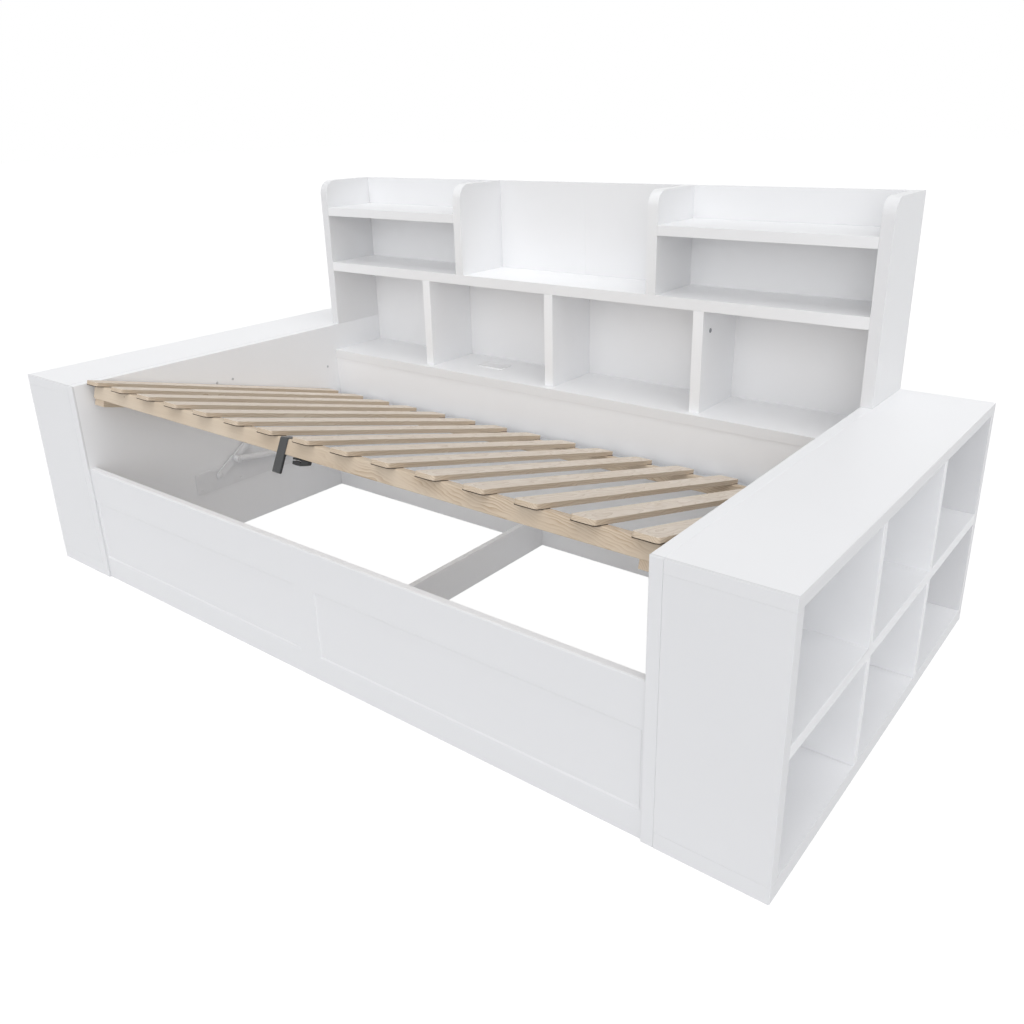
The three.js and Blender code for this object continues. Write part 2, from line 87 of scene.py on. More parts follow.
# Camera
def add_camera():
    turn, tip, roll = (math.radians(angle) for angle in (-38.833, -21.318, -1.557))
    forward = Vector((math.sin(turn) * math.cos(tip), math.cos(turn) * math.cos(tip), math.sin(tip)))
    level = Vector((math.cos(turn), -math.sin(turn), 0))
    upright = level.cross(forward)
    right = level * math.cos(roll) + upright * math.sin(roll)
    up = upright * math.cos(roll) - level * math.sin(roll)
    data = bpy.data.cameras.new("camera")
    data.sensor_width = 36
    data.lens = 933.94 / 1024 * 36
    data.shift_x = (512 - 510.3) / 1024
    data.shift_y = (481.15 - 512) / 1024
    data.clip_start = 0.05
    data.clip_end = 200
    camera = bpy.data.objects.new("camera", data)
    camera.matrix_world = Matrix(
        [(*axis, place) for axis, place in zip(zip(right, up, -forward), (1.6753, -1.8829, 1.3134))]
        + [(0, 0, 0, 1)]
    )
    scene.collection.objects.link(camera)
    scene.camera = camera


# Node graphs
class Graph:
    """The nodes of one material, added and linked in one call each."""

    def __init__(self, name):
        self.material = bpy.data.materials.new(name)
        self.material.use_nodes = True
        self.tree = self.material.node_tree
        self.shader = self.tree.nodes["Principled BSDF"]

    def set(self, node, **inputs):
        for name, value in inputs.items():
            socket = node.inputs[name.replace("_", " ")]
            if isinstance(value, bpy.types.NodeSocket):
                self.tree.links.new(value, socket)
            else:
                socket.default_value = value
        return node

    def add(self, kind, inputs=(), **settings):
        """A node of this kind; inputs are given in the order of its sockets, None to skip one."""
        node = self.tree.nodes.new(kind)
        for name, value in settings.items():
            setattr(node, name, value)
        for index, value in enumerate(inputs):
            if value is None:
                continue
            if isinstance(value, bpy.types.NodeSocket):
                self.tree.links.new(value, node.inputs[index])
            else:
                node.inputs[index].default_value = value
        return node

    def math(self, operation, *inputs):
        return self.add("ShaderNodeMath", inputs, operation=operation).outputs[0]

    def vector(self, operation, *inputs):
        return self.add("ShaderNodeVectorMath", inputs, operation=operation).outputs[0]

    def mix(self, factor, a, b):
        """A blend of two colours."""
        node = self.add("ShaderNodeMix", data_type="RGBA")
        self.tree.links.new(factor, node.inputs[0])
        for index, value in ((6, a), (7, b)):
            if isinstance(value, bpy.types.NodeSocket):
                self.tree.links.new(value, node.inputs[index])
            else:
                node.inputs[index].default_value = (*value, 1)
        return node.outputs[2]

    def noise(self, vector, scale, detail=2, roughness=0.5):
        node = self.add("ShaderNodeTexNoise")
        self.set(node, Vector=vector, Scale=scale, Detail=detail, Roughness=roughness)
        return node

    def range(self, value, low, high, to_low=0.0, to_high=1.0, smooth=False):
        node = self.add("ShaderNodeMapRange", (value, low, high, to_low, to_high))
        node.interpolation_type = "SMOOTHSTEP" if smooth else "LINEAR"
        return node.outputs[0]

    def bump(self, height, strength, distance):
        node = self.add("ShaderNodeBump")
        self.set(node, Height=height, Strength=strength, Distance=distance)
        self.tree.links.new(node.outputs[0], self.shader.inputs["Normal"])

    def place(self):
        return self.add("ShaderNodeTexCoord").outputs["Object"]


# White boards: lit and shaded copies of one white. Each kind's face white is painted lighter or darker
# for the light on its boards. Each kind has the starts or ends of its nodes' names, the white of its
# faces and, where some of its faces carry painted shade, that darker white and the axes those faces look
# along.
# A board is of the first kind that fits its name
# Painted shade: a darker white for front and side faces
FRONT_SHADE_WHITE = (0.76, 0.763, 0.778)
BOARDS = (
    ("back", ("bookcase_back",), (0.835, 0.839, 0.852)),
    ("inner", ("rear_board", "storage_divider", "bookcase_face", "bookcase_divider"), (0.93, 0.936, 0.952)),
    ("sides", ("bed_side",), (0.93, 0.936, 0.952), FRONT_SHADE_WHITE, (0, 1, 0)),
    ("grid", ("cubby_grid",), (0.9, 0.905, 0.92), (0.855, 0.86, 0.875), (1, 0, 0)),
    ("ends", ("bookcase_side",), (0.835, 0.839, 0.851), FRONT_SHADE_WHITE, (0, 1, 0)),
    ("panels", ("bookcase_hutch", "bookcase_top_shelf"), (0.85, 0.854, 0.866)),
    ("rail", ("front_rail",), (0.93, 0.934, 0.95), FRONT_SHADE_WHITE, (1, 1, 0)),
    ("shelves", ("bookcase",), (0.95, 0.954, 0.966), (0.86, 0.864, 0.876), (1, 1, 0)),
    ("edges", ("_top", "_base"), (0.93, 0.934, 0.95), FRONT_SHADE_WHITE, (1, 1, 0)),
    ("outer", ("",), FRONT_SHADE_WHITE),
)
SHADED_RIM = (0.006, 0.0065)  # from the bed's front: the painted shade on the narrow rim ends between these


def board_kind(node):
    return next(kind for kind, names, *_ in BOARDS if node.startswith(names) or node.endswith(names))


def board_white(name, color, painted_shade_white=None, axes=None):
    """Smooth white melamine: an even coat with a faint mottle and a fine pressed texture.

    A board given a second, darker white has it painted on the faces that look along these axes and
    on a narrow rim at the bed's front: painted shade on its sides and fronts.
    """
    g = Graph(name)
    place = g.place()
    mottle = g.noise(place, 3.0, 3).outputs[0]
    grain = g.noise(place, 900, 2).outputs[0]
    dull = tuple(part - 0.012 for part in color)
    coat = g.mix(g.range(mottle, 0.3, 0.7), dull, color)
    if painted_shade_white:
        normal = g.add("ShaderNodeTexCoord").outputs["Normal"]
        part = g.vector("MULTIPLY", normal, axes)
        facing = g.add("ShaderNodeVectorMath", (part,), operation="LENGTH").outputs["Value"]
        back = g.add("ShaderNodeSeparateXYZ", (place,)).outputs["Y"]
        rim = g.range(back, SHADED_RIM[1] - DEPTH / 2, SHADED_RIM[0] - DEPTH / 2)
        # Painted shade: the darker white on the faces along the axes and on the rim at the bed's front
        coat = g.mix(g.math("MAXIMUM", rim, g.range(facing, 0.4, 0.6)), coat, painted_shade_white)
    g.set(g.shader, Base_Color=coat)
    g.set(g.shader, Roughness=g.range(grain, 0.3, 0.7, 0.34, 0.42))
    g.bump(grain, 0.05, 0.0002)
    return g.material


# Pine. Its trunk lies along the piece, so the growth rings draw long arches on the faces
BEAM_KNOT = (0.064, 0.004)  # along the front beam, and up from the hinge's level
BEAM_SMALL_KNOT = (-0.784, 0.006)


def rings(g, along, across, up, heart, spacing):
    """0 to 1 through each growth ring, dark at the end of the season."""
    place = g.add("ShaderNodeCombineXYZ", (along, across, up)).outputs[0]
    stretched = g.vector("MULTIPLY", place, (5.0, 14.0, 14.0))
    bend = g.noise(stretched, 1.0, 3, 0.5).outputs[1]
    sway = g.add("ShaderNodeSeparateXYZ", (bend,)).outputs
    shift = [g.math("MULTIPLY", g.math("SUBTRACT", part, 0.5), 0.05) for part in (sway[0], sway[1])]
    side = g.math("ADD", g.math("SUBTRACT", across, heart[0]), shift[0])
    rise = g.math("ADD", g.math("SUBTRACT", up, heart[1]), shift[1])
    lean = g.math("ADD", rise, g.math("MULTIPLY", along, heart[2]))
    out = g.math("SQRT", g.math("ADD", g.math("POWER", side, 2.0), g.math("POWER", lean, 2.0)))
    return g.math("FRACT", g.math("DIVIDE", out, spacing))


def finish_pine(g, along, across, up, season, knot, painted_top_light=None):
    """Colour, sheen and surface of planed pine from its rings, fibres and knots.

    Where the upper-face mask is 1, as on the slats' upper faces, the wood is painted paler and its rings
    fainter: painted light on the faces that look up.
    """
    place = g.add("ShaderNodeCombineXYZ", (along, across, up)).outputs[0]
    fibre = g.noise(g.vector("MULTIPLY", place, (9, 900, 900)), 1.0, 2, 0.6).outputs[0]
    patch = g.noise(g.vector("MULTIPLY", place, (3, 16, 16)), 1.0, 2).outputs[0]
    tone = g.range(patch, 0.3, 0.7)
    late = g.math("MULTIPLY", g.math("POWER", season, 3.2), 0.8)
    pale = g.mix(tone, (0.585, 0.48, 0.365), (0.665, 0.565, 0.45))
    if painted_top_light is not None:
        # Painted light: paler wood and fainter rings on the upper faces
        pale = g.mix(painted_top_light, pale, g.mix(tone, (0.735, 0.65, 0.555), (0.79, 0.712, 0.628)))
        late = g.math("MULTIPLY", late, g.range(painted_top_light, 0, 1, 1.0, 0.55))
    ringed = g.mix(late, pale, (0.43, 0.315, 0.21))
    fibred = g.mix(g.range(fibre, 0.35, 0.75, 0.0, 0.22), ringed, (0.42, 0.32, 0.23))
    color = g.mix(knot, fibred, (0.17, 0.10, 0.055))
    g.set(g.shader, Base_Color=color, Roughness=g.range(fibre, 0.3, 0.7, 0.58, 0.72))
    height = g.math("ADD", fibre, g.math("MULTIPLY", late, -0.6))
    g.bump(height, 0.25, 0.0003)
    return g.material


def on_base(g):
    """The place along the slats, across them and up, measured from the hinge line."""
    back = Matrix.Rotation(TILT, 4, "X") @ -HINGE
    mapping = g.add("ShaderNodeMapping")
    g.set(mapping, Vector=g.place(), Location=back, Rotation=(TILT, 0, 0))
    return g.add("ShaderNodeSeparateXYZ", (mapping.outputs[0],)).outputs


def knots(g, along, across, up, pitch, size):
    """1 inside a knot, fading out round it; about one cell in three has one."""
    place = g.add("ShaderNodeCombineXYZ", (along, across, up)).outputs[0]
    cell = g.add("ShaderNodeTexVoronoi")
    g.set(cell, Vector=g.vector("MULTIPLY", place, (0.45, 1.0, 1.0)), Scale=1 / pitch)
    lucky = g.math("LESS_THAN", g.add("ShaderNodeSeparateColor", (cell.outputs[1],)).outputs[0], 0.3)
    near = g.range(cell.outputs[0], size / pitch, 0.45 * size / pitch, smooth=True)
    return g.math("MULTIPLY", near, lucky)


def slat_pine(pitch, half):
    """Every slat is cut from another place in the trunk."""
    g = Graph("pine_slats")
    x, y, z = on_base(g)[:3]
    number = g.math("FLOOR", g.math("DIVIDE", g.math("ADD", x, half), pitch))
    chance = g.add("ShaderNodeTexWhiteNoise", noise_dimensions="1D")
    g.tree.links.new(number, chance.inputs["W"])
    r, s, t = g.add("ShaderNodeSeparateColor", (chance.outputs["Color"],)).outputs[:3]
    along = g.math("ADD", y, g.math("MULTIPLY", s, 30))
    middle = g.math("MULTIPLY", g.math("ADD", number, 0.5), pitch)
    across = g.math("SUBTRACT", g.math("ADD", x, half), middle)
    heart = (g.range(r, 0, 1, -0.03, 0.03), g.range(t, 0, 1, -0.07, -0.015), g.range(s, 0, 1, -0.02, 0.03))
    shifted = g.math("ADD", y, 0.46)
    place = g.math("ADD", across, g.math("MULTIPLY", s, 7.0))
    spot = knots(g, along, place, z, 0.16, 0.007)
    season = rings(g, shifted, across, z, heart, 0.0052)
    # Painted light: 1 on the slats' upper faces, which are painted paler
    painted_top_light = g.range(z, 0.0284, 0.029)
    return finish_pine(g, along, place, z, season, spot, painted_top_light)


def knot_swirl(g, x, z, middle, size):
    """1 in a knot's dark heart, how far its pull reaches round it, 1 falling to 0, and its distance."""
    aside = g.math("DIVIDE", g.math("SUBTRACT", x, middle[0]), size * 1.5)
    rise = g.math("DIVIDE", g.math("SUBTRACT", z, middle[1]), size)
    out = g.math("SQRT", g.math("ADD", g.math("POWER", aside, 2.0), g.math("POWER", rise, 2.0)))
    return g.range(out, 0.35, 0.1, smooth=True), g.range(out, 2.4, 0.3, smooth=True), out


def beam_pine():
    """Beams: a quiet pale end on the left, then bold uneven streaks that slant down to the right."""
    g = Graph("pine_beams")
    x, y, z = on_base(g)[:3]
    pull, out = knot_swirl(g, x, z, BEAM_KNOT, 0.013)[1:]
    small = knot_swirl(g, x, z, BEAM_SMALL_KNOT, 0.006)[0]
    place = g.add("ShaderNodeCombineXYZ", (x, y, z)).outputs[0]
    drift = g.noise(g.vector("MULTIPLY", place, (5.0, 14, 14)), 1.0, 3, 0.55).outputs[0]
    slant = g.math("ADD", z, g.math("MULTIPLY", x, 0.2))
    slant = g.math("ADD", slant, g.math("MULTIPLY", drift, 0.075))
    slant = g.math("ADD", slant, g.math("MULTIPLY", pull, g.math("MULTIPLY", out, 0.006)))
    slant = g.math("ADD", slant, g.math("MULTIPLY", y, 0.9))
    ring = g.math("FRACT", g.math("DIVIDE", slant, 0.0078))
    bold = g.range(g.math("ADD", x, g.math("MULTIPLY", drift, 0.6)), 0.0, 0.6, 0.22, 1.0, smooth=True)
    bold = g.math("MAXIMUM", bold, pull)
    patchy = g.noise(g.vector("MULTIPLY", place, (9.0, 20, 20)), 1.0, 2).outputs[0]
    bold = g.math("MULTIPLY", bold, g.range(patchy, 0.35, 0.6, 0.5, 1.1))
    season = g.math("MULTIPLY", g.math("POWER", ring, 0.6), bold)
    return finish_pine(g, x, y, z, season, small)


def batten_pine():
    g = Graph("pine_battens")
    x, y, z = on_base(g)[:3]
    spot = knots(g, y, x, z, 0.2, 0.008)
    season = rings(g, y, g.math("ABSOLUTE", x), z, (0.9, -0.08, 0.04), 0.0055)
    return finish_pine(g, y, x, z, season, spot)


def steel(name, color, metallic, roughness):
    g = Graph(name)
    place = g.place()
    speck = g.noise(place, 700, 3).outputs[0]
    cloud = g.noise(place, 30, 2).outputs[0]
    dark = tuple(part * 0.93 for part in color)
    g.set(g.shader, Base_Color=g.mix(cloud, dark, color), Metallic=metallic)
    g.set(g.shader, Roughness=g.range(speck, 0.3, 0.7, roughness - 0.05, roughness + 0.07))
    g.bump(speck, 0.12, 0.0002)
    return g.material


def woven():
    """Dark webbing: ribs across the strap and a fine twill between them."""
    g = Graph("webbing")
    x, y, z = on_base(g)[:3]
    middle = (STRAP[0] + STRAP[1]) / 2 * MM
    lean = STRAP_LEAN / (STRAP_TOP - STRAP_TIP)
    hung = g.math("MULTIPLY", g.math("SUBTRACT", STRAP_TOP * MM, z), lean)
    x = g.math("SUBTRACT", x, hung)
    aside = g.math("ABSOLUTE", g.math("SUBTRACT", x, middle))
    # Painted shade: the strap's two edges are painted darker, for the shade along its sides
    painted_edge_shade = g.range(aside, 0.0148, 0.0162)
    climb = g.math("SUBTRACT", y, z)
    ribs = g.math("SINE", g.math("MULTIPLY", climb, 2 * math.pi / 0.0028))
    threads = g.math("SINE", g.math("MULTIPLY", x, 2 * math.pi / 0.0019))
    weave = g.math("ADD", ribs, g.math("MULTIPLY", threads, 0.6))
    fuzz = g.noise(g.place(), 1500, 2).outputs[0]
    tone = g.range(g.math("ADD", weave, fuzz), -1.6, 2.6)
    web = g.mix(tone, (0.028, 0.029, 0.03), (0.07, 0.0715, 0.074))
    g.set(g.shader, Base_Color=g.mix(painted_edge_shade, web, (0.012, 0.012, 0.013)), Roughness=0.85)
    g.set(g.shader, Sheen_Weight=0.3)
    g.bump(tone, 0.6, 0.0004)
    return g.material


def plastic(name, color, roughness):
    g = Graph(name)
    grain = g.noise(g.place(), 1300, 2).outputs[0]
    lighter = tuple(min(part * 1.12 + 0.004, 1) for part in color)
    g.set(g.shader, Base_Color=g.mix(grain, color, lighter), Roughness=roughness)
    g.bump(grain, 0.15, 0.0002)
    return g.material


# World, floor and lamps
LAMP_WIDTH = math.radians(60)
FLOOR_GLOW = 1.11
FLOOR_GLOW_SHARE = 0.86
FLOOR_HALF = 40
FLOOR_LEVEL = -0.0004


def add_world():
    """An even pale sky; the camera and reflections see plain white."""
    world = bpy.data.worlds.new("studio")
    world.use_nodes = True
    tree = world.node_tree
    sky = tree.nodes["Background"]
    sky.inputs[0].default_value = (0.985, 0.99, 1, 1)
    sky.inputs[1].default_value = 0.33
    white = tree.nodes.new("ShaderNodeBackground")
    white.inputs[0].default_value = (1, 1, 1, 1)
    white.inputs[1].default_value = 1
    mix = tree.nodes.new("ShaderNodeMixShader")
    path = tree.nodes.new("ShaderNodeLightPath")
    seen = path.outputs["Is Camera Ray"]
    for ray in ("Is Glossy Ray", "Is Transmission Ray"):
        either = tree.nodes.new("ShaderNodeMath")
        either.operation = "MAXIMUM"
        tree.links.new(seen, either.inputs[0])
        tree.links.new(path.outputs[ray], either.inputs[1])
        seen = either.outputs[0]
    tree.links.new(seen, mix.inputs[0])
    tree.links.new(sky.outputs[0], mix.inputs[1])
    tree.links.new(white.outputs[0], mix.inputs[2])
    tree.links.new(mix.outputs[0], tree.nodes["World Output"].inputs[0])
    scene.world = world


def add_floor():
    """A white floor that glows for the camera and still takes the bed's soft shadow."""
    g = Graph("floor")
    glow = g.add("ShaderNodeEmission", ((1, 1, 1, 1), FLOOR_GLOW)).outputs[0]
    grain = g.noise(g.place(), 40, 2).outputs[0]
    g.set(g.shader, Specular_IOR_Level=0.2)
    g.set(g.shader, Base_Color=g.mix(grain, (0.73, 0.735, 0.745), (0.76, 0.765, 0.775)), Roughness=0.9)
    lit = g.add("ShaderNodeMixShader", (FLOOR_GLOW_SHARE, g.shader.outputs[0], glow)).outputs[0]
    path = g.add("ShaderNodeLightPath").outputs
    seen = g.math("MAXIMUM", path["Is Camera Ray"], path["Is Glossy Ray"])
    seen = g.math("MAXIMUM", seen, path["Is Transmission Ray"])
    mix = g.add("ShaderNodeMixShader", (seen, g.shader.outputs[0], lit)).outputs[0]
    g.tree.links.new(mix, g.tree.nodes["Material Output"].inputs[0])
    half = FLOOR_HALF
    mesh = bpy.data.meshes.new("floor")
    corners = [(-half, -half), (half, -half), (half, half), (-half, half)]
    mesh.from_pydata([(*corner, FLOOR_LEVEL) for corner in corners], [], [(0, 1, 2, 3)])
    mesh.materials.append(g.material)
    floor = bpy.data.objects.new("floor", mesh)
    scene.collection.objects.link(floor)


def add_lamp(name, turn, tip, level):
    """A far, very soft lamp, a turn to the right of the bed's front and at a height angle.

    The level is what it alone gives a white surface that faces it.
    """
    turn, tip = math.radians(turn), math.radians(tip)
    away = Vector((math.sin(turn) * math.cos(tip), -math.cos(turn) * math.cos(tip), math.sin(tip)))
    data = bpy.data.lights.new(name, "SUN")
    data.energy = level * math.pi
    data.angle = LAMP_WIDTH
    lamp = bpy.data.objects.new(name, data)
    lamp.rotation_euler = (-away).to_track_quat("-Z", "Y").to_euler()
    scene.collection.objects.link(lamp)


def add_light():
    add_world()
    add_floor()
    add_lamp("front", 10, 15, 0.33)
    add_lamp("front_right", 30, 5, 0.18)
    add_lamp("high_right", 80, 45, 0.22)
    add_lamp("top", 0, 85, 0.3)


# Frame pieces: rounded edges, so that board joints and corners catch the light
BOARD_EDGE = 0.001
CABINET_EDGE = 0.0015
BATTEN_EDGE = 0.0015
BEAM_EDGE = 0.003
SLAT_EDGE = 0.0014


def soften(piece, width, segments=2):
    weld = piece.modifiers.new("weld", "WELD")
    weld.merge_threshold = 0.00001
    bevel = piece.modifiers.new("edges", "BEVEL")
    bevel.width = width
    bevel.segments = segments
    bevel.limit_method = "ANGLE"
    bevel.angle_limit = math.radians(40)


def paint(node, material):
    slots = nodes[node].data.materials
    slots.clear()
    slots.append(material)


def fitting_materials():
    """The finishes of the metal, webbing and plastic pieces, and the dark brown of the painted shadow strips
    under the slats, by name.
    """
    return {
        "white_steel": steel("white_steel", (0.88, 0.886, 0.905), 0.0, 0.38),
        "zinc_steel": steel("zinc_steel", (0.66, 0.67, 0.69), 0.9, 0.32),
        "webbing": woven(),
        "black_plastic": plastic("black_plastic", (0.004, 0.004, 0.0045), 0.5),
        "white_plastic": plastic("white_plastic", (0.84, 0.84, 0.85), 0.3),
        "grey_nylon": plastic("grey_nylon", (0.62, 0.63, 0.65), 0.5),
        # Painted shadow: the dark brown of the strips under the slats' ends
        "felt": plastic("felt", (0.035, 0.025, 0.018), 0.9),
        "grey_plastic": plastic("grey_plastic", (0.3, 0.31, 0.33), 0.5),
    }


def slat_spacing():
    """The slats' pitch, and the place left of the middle where the first slat's share starts."""
    low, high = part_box("slat_01")
    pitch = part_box("slat_02")[0].x - low.x
    return pitch, -low.x + (pitch - (high.x - low.x)) / 2


def dress_boards():
    whites = {kind: board_white(f"white_board_{kind}", *tones) for kind, _, *tones in BOARDS}
    for node, slot in node_slots.items():
        if slot == "white_board":
            paint(node, whites[board_kind(node)])
            soften(nodes[node], CABINET_EDGE if "cabinet" in node else BOARD_EDGE)


def dress_wood():
    slats, beams, battens = slat_pine(*slat_spacing()), beam_pine(), batten_pine()
    for node in node_slots:
        if node.startswith("slat_base_batten"):
            paint(node, battens)
            soften(nodes[node], BATTEN_EDGE)
        elif node.startswith("slat_base") or node == "front_ledger":
            paint(node, beams)
            soften(nodes[node], BEAM_EDGE, 3)
        elif node.startswith("slat_"):
            paint(node, slats)
            soften(nodes[node], SLAT_EDGE)


def dress_fittings():
    for node, slot in node_slots.items():
        if slot in materials:
            paint(node, materials[slot])


# Shapes. They are drawn in millimetres, in one of the frames above
AXES = {"x": (1, 2, 0), "y": (0, 2, 1), "z": (0, 1, 2)}


def new_ring(bm, axis, outline, level):
    """The corners of an outline in the plane across an axis, at a level of that axis."""
    first, second, along = AXES[axis]
    ring = []
    for point in outline:
        corner = [0, 0, 0]
        corner[first], corner[second], corner[along] = point[0], point[1], level
        ring.append(bm.verts.new(corner))
    return ring


def join_rings(bm, low, high):
    """A wall between two rings, or from a ring to the one corner that closes it."""
    steps = max(len(low), len(high))
    for step in range(steps):
        before = (step - 1) % steps
        corners = [low[before % len(low)], low[step % len(low)]]
        corners += [high[step % len(high)], high[before % len(high)]]
        bm.faces.new(list(dict.fromkeys(corners)))


def slab(bm, axis, outline, span):
    """A flat piece: an outline in the plane across an axis, thick over a span of that axis."""
    near, far = (new_ring(bm, axis, outline, level) for level in span)
    join_rings(bm, near, far)
    bm.faces.new(near)
    bm.faces.new(far)


def turned(bm, axis, centre, profile, steps=32):
    """A turned piece: a profile of (radius, level) spun round an axis through a centre."""
    rings = []
    for radius, level in profile:
        outline = []
        for step in range(steps if radius else 1):
            angle = 2 * math.pi * step / steps
            outline.append((centre[0] + radius * math.cos(angle), centre[1] + radius * math.sin(angle)))
        rings.append(new_ring(bm, axis, outline, level))
    for low, high in zip(rings, rings[1:]):
        join_rings(bm, low, high)


def collar(bm, axis, centre, hole, radius, span, edge):
    """A ring round a hole, with rounded rims."""
    low, high = span
    profile = [(hole, low), (radius - edge, low), (radius, low + edge), (radius, high - edge)]
    profile += [(radius - edge, high), (hole, high), (hole, low)]
    turned(bm, axis, centre, profile)


def peg(bm, axis, centre, radius, span, edge):
    """A round peg from a face at the start of the span, with a rounded rim at its end."""
    low, high = span
    rim = [(radius, high + math.copysign(edge, low - high)), (radius - edge, high)]
    turned(bm, axis, centre, [(0, low), (radius, low), *rim, (0, high)])


def eased(corners, radius, closed=True, steps=5):
    """The corners with each turn between two sides rounded off."""
    points = []
    for index, corner in enumerate(corners):
        corner = Vector(corner)
        if not closed and index in (0, len(corners) - 1):
            points.append(corner)
            continue
        before, after = Vector(corners[index - 1]), Vector(corners[(index + 1) % len(corners)])
        reach = min(radius, (before - corner).length / 2, (after - corner).length / 2)
        start = corner + (before - corner).normalized() * reach
        end = corner + (after - corner).normalized() * reach
        for step in range(steps + 1):
            t = step / steps
            points.append(start * (1 - t) ** 2 + corner * 2 * t * (1 - t) + end * t**2)
    return points


def rectangle(first, second):
    return [(first[0], second[0]), (first[1], second[0]), (first[1], second[1]), (first[0], second[1])]


def round_bar(reach, near, far, steps=16):
    """The outline of a flat bar with round ends, from 0 to its reach."""
    outline = []
    for centre, radius, start in ((reach, far, -90), (0, near, 90)):
        for step in range(steps + 1):
            angle = math.radians(start + 180 * step / steps)
            outline.append((centre + radius * math.cos(angle), radius * math.sin(angle)))
    return outline


def screw(bm, axis, centre, level, radius, height):
    """A domed screw head on a face, with a cross cut into it; its height may be negative."""
    profile = [(radius, -0.2), (radius, 0.15), (0.87 * radius, 0.6), (0.6 * radius, 0.9), (0.45 * radius, 1)]
    profile += [(0.36 * radius, 0.2), (0, 0.2)]
    turned(bm, axis, centre, [(out, level + height * share) for out, share in profile], 24)
    for wide, tall in ((0.37, 0.09), (0.09, 0.37)):
        across = (centre[0] - wide * radius, centre[0] + wide * radius)
        along = (centre[1] - tall * radius, centre[1] + tall * radius)
        slab(bm, axis, rectangle(across, along), (level, level + 0.55 * height))


def add_piece(name, bm, place, material, body, edge=0):
    """The shape as a piece of the scene, in metres; edge is the radius of its rounded edges."""
    bm.transform(place)
    bmesh.ops.recalc_face_normals(bm, faces=bm.faces)
    mesh = bpy.data.meshes.new(name)
    bm.to_mesh(mesh)
    bm.free()
    mesh.shade_smooth()
    mesh.set_sharp_from_angle(angle=math.radians(35))
    mesh.materials.append(materials[material])
    piece = bpy.data.objects.new(name, mesh)
    scene.collection.objects.link(piece)
    if edge:
        soften(piece, edge * MM)
    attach(piece, body)
    return piece


# Lifting gear, left and right. X counts from a cabinet's bed side towards the middle of the bed
PIVOT = (440, 205)
ANCHOR = (840, 203.5)
STUD_OFFSET = 78
PLATE_FACE = 3
ARM = (5, 9)
EYE = (14, 34)
STUD_END = 36


def beside(place, side):
    return place @ Matrix.Translation((side * FACE, 0, 0)) @ Matrix.Diagonal((-side, 1, 1, 1))


def add_wall_plate(name, side):
    place = beside(CARCASS, side)
    bm = bmesh.new()
    slab(bm, "x", eased(rectangle((348, 870), (157, 231)), 5), (0.05, PLATE_FACE))
    slab(bm, "x", eased(rectangle((352, 866), (220, 229)), 3), (PLATE_FACE - 0.5, 4.6))
    peg(bm, "x", PIVOT, 9, (PLATE_FACE - 0.5, 4.7), 0.2)
    peg(bm, "x", PIVOT, 5, (PLATE_FACE - 0.5, 9.8), 0.2)
    turned(bm, "x", PIVOT, [(0, 9.3), (9, 9.3), (9, 10), (7.6, 10.9), (4, 11.3), (0, 11.3)])
    peg(bm, "x", ANCHOR, 11, (PLATE_FACE - 0.5, 6), 0.6)
    peg(bm, "x", ANCHOR, 4, (PLATE_FACE - 0.5, STUD_END), 0.8)
    piece = add_piece(f"wall_plate_{name}", bm, place, "white_steel", "bed_frame")
    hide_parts(f"lift_plate_{name}")
    screws = bmesh.new()
    for spot in ((366, 171), (520, 171), (700, 171), (854, 171)):
        screw(screws, "x", spot, PLATE_FACE, 4.2, 1.4)
    add_piece(f"wall_plate_screws_{name}", screws, place, "white_steel", "bed_frame")


def add_lever(name, side):
    place = beside(LEVER, side)
    body = f"lift_arm_{name}"
    bm = bmesh.new()
    slab(bm, "x", round_bar(LEVER_REACH, 14, 13), ARM)
    slab(bm, "x", eased(rectangle((104, LEVER_REACH - 22), (-6, 6)), 6), (ARM[1] - 0.5, ARM[1] + 1.2))
    peg(bm, "x", (STUD_OFFSET, 0), 6.5, (ARM[1] - 0.5, EYE[0] - 0.8), 0.6)
    peg(bm, "x", (STUD_OFFSET, 0), 4, (ARM[1] - 0.5, STUD_END), 0.8)
    lever = add_piece(f"lever_{name}", bm, place, "white_steel", body, 0.5)
    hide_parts(f"lift_arm_{name}")
    pad = bmesh.new()
    collar(pad, "x", (LEVER_REACH, 0), 5, 13, (ARM[1] - 0.5, 35), 1.4)
    peg(pad, "x", (LEVER_REACH, 0), 5.4, (ARM[1] - 0.5, 34), 0.6)
    add_piece(f"lever_pad_{name}", pad, place, "grey_nylon", body)


def add_strut(name, side):
    place = beside(STRUT, side)
    middle = ((EYE[0] + EYE[1]) / 2, 0)
    front = -STRUT_LENGTH
    mouth = front + 232
    bm = bmesh.new()
    tube = [(0, front + 7), (7, front + 7), (8, front + 9), (11, front + 13), (11, mouth - 14)]
    tube += [(10.2, mouth - 13.4), (10.2, mouth - 12.2), (11, mouth - 11.6), (11, mouth - 3)]
    tube += [(9, mouth), (5.8, mouth), (5.6, mouth - 2), (0, mouth - 2)]
    turned(bm, "y", middle, tube)
    collar(bm, "x", (front, 0), 4.6, 11, EYE, 1.2)
    body = f"strut_cylinder_{name}"
    piece = add_piece(f"gas_strut_{name}", bm, place, "white_steel", body)
    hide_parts(f"strut_cylinder_{name}")
    rod = bmesh.new()
    shaft = [(0, mouth - 60), (5, mouth - 60), (5, -17), (7, -15), (7, -8), (0, -8)]
    turned(rod, "y", middle, shaft)
    collar(rod, "x", (0, 0), 4.3, 11, EYE, 1.2)
    piece = add_piece(f"strut_shaft_{name}", rod, place, "zinc_steel", f"strut_rod_{name}")
    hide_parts(f"strut_rod_{name}")


# Continuous hinge behind the slats
KNUCKLES = 11
HINGE_END = 930


